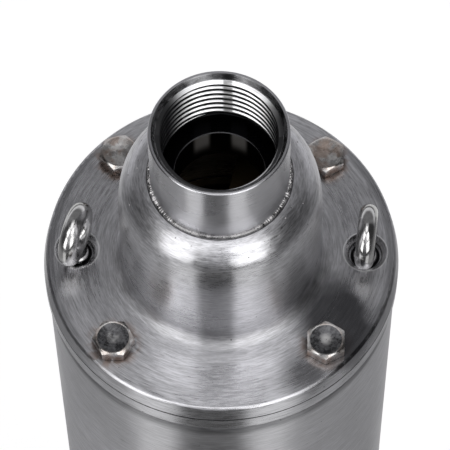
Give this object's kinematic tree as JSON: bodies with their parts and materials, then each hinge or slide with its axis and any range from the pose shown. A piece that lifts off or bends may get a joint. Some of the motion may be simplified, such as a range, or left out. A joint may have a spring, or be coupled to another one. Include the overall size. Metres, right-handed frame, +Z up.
{
  "type": "borehole submersible pump",
  "caption": "Slim stainless borehole pump: motor below, slotted strainer, multistage casing, and a bolted domed head with a threaded outlet socket and lifting eyes.",
  "frame": {"origin": "centre of the motor base's underside, on the pump's axis", "axes": "+Z up along the pump's axis to the outlet, -Y towards the front as pictured, cable guard at +Y"},
  "size_m": [0.098, 0.1034, 0.5817],
  "materials": {
    "casing_steel": "satin stainless tube, fine turned grain",
    "head_steel": "stainless, circular brushed grain, small pits",
    "socket_steel": "turned stainless, machined rim",
    "weld_steel": "rippled weld bead",
    "bolt_steel": "bright cold-formed stainless",
    "eye_steel": "polished stainless",
    "motor_steel": "satin stainless",
    "cast_steel": "cast stainless, fine shot-blasted",
    "strainer_steel": "pressed stainless sheet",
    "shaft_steel": "ground stainless",
    "lamination_steel": "stacked electrical steel",
    "winding_copper": "enamelled copper",
    "rotor_aluminium": "die-cast aluminium",
    "bearing_carbon": "resin-bonded carbon",
    "black_rubber": "matte",
    "impeller_plastic": "moulded engineering plastic",
    "bowl_plastic": "moulded engineering plastic",
    "valve_brass": "machined brass",
    "spring_steel": "drawn stainless wire"
  },
  "bodies": {
    "pump_body": {"motor_base": "cast_steel", "pressure_diaphragm": "black_rubber", "thrust_housing": "cast_steel", "thrust_ring": "shaft_steel", "thrust_pads": "shaft_steel", "lower_bearing_plate": "cast_steel", "lower_bush": "bearing_carbon", "motor_shell": "motor_steel", "stator_core": "lamination_steel", "stator_windings": "winding_copper", "stator_liner": "motor_steel", "motor_top_bracket": "cast_steel", "upper_bush": "bearing_carbon", "shaft_seal": "black_rubber", "filling_plug": "bolt_steel", "motor_studs": "bolt_steel", "motor_nuts": "bolt_steel", "cable_gland": "bolt_steel", "gland_grommet": "black_rubber", "suction_bracket": "cast_steel", "strainer": "strainer_steel", "stage_bushes": "black_rubber", "bearing_carrier": "bowl_plastic", "carrier_bush": "black_rubber", "pump_casing": "casing_steel", "casing_head": "head_steel", "cover_o_ring": "black_rubber", "discharge_cover": "head_steel", "outlet_socket": "socket_steel", "weld_bead": "weld_steel", "cover_bolts": "bolt_steel", "lifting_eye_left": "eye_steel", "lifting_eye_right": "eye_steel", "valve_seat": "valve_brass", "valve_cage": "valve_brass", "valve_spring": "spring_steel", "cable_guard": "strainer_steel", "guard_screws": "bolt_steel", "bowl_1": "bowl_plastic", "bowl_2": "bowl_plastic", "bowl_3": "bowl_plastic", "bowl_4": "bowl_plastic", "bowl_5": "bowl_plastic"},
    "rotor": {"rotor_core": "lamination_steel", "rotor_end_rings": "rotor_aluminium", "motor_shaft": "shaft_steel", "thrust_disc": "bearing_carbon", "sand_slinger": "black_rubber", "shaft_coupling": "shaft_steel", "spacer_sleeve": "shaft_steel", "pump_shaft": "shaft_steel", "shaft_nut": "bolt_steel", "impeller_1": "impeller_plastic", "impeller_2": "impeller_plastic", "impeller_3": "impeller_plastic", "impeller_4": "impeller_plastic", "impeller_5": "impeller_plastic"},
    "valve": {"valve_poppet": "valve_brass", "valve_seal": "black_rubber"}
  },
  "joints": [
    {"name": "rotor_spin", "type": "hinge", "parent": "pump_body", "child": "rotor", "pos_m": [0, 0, 0.3], "axis": [0, 0, 1], "continuous": true},
    {"name": "valve_lift", "type": "slide", "parent": "pump_body", "child": "valve", "axis": [0, 0, 1], "range_m": [0, 0.008], "stiffness_N_per_m": 300, "springref_m": -0.005, "deforming": ["valve_spring"]}
  ]
}
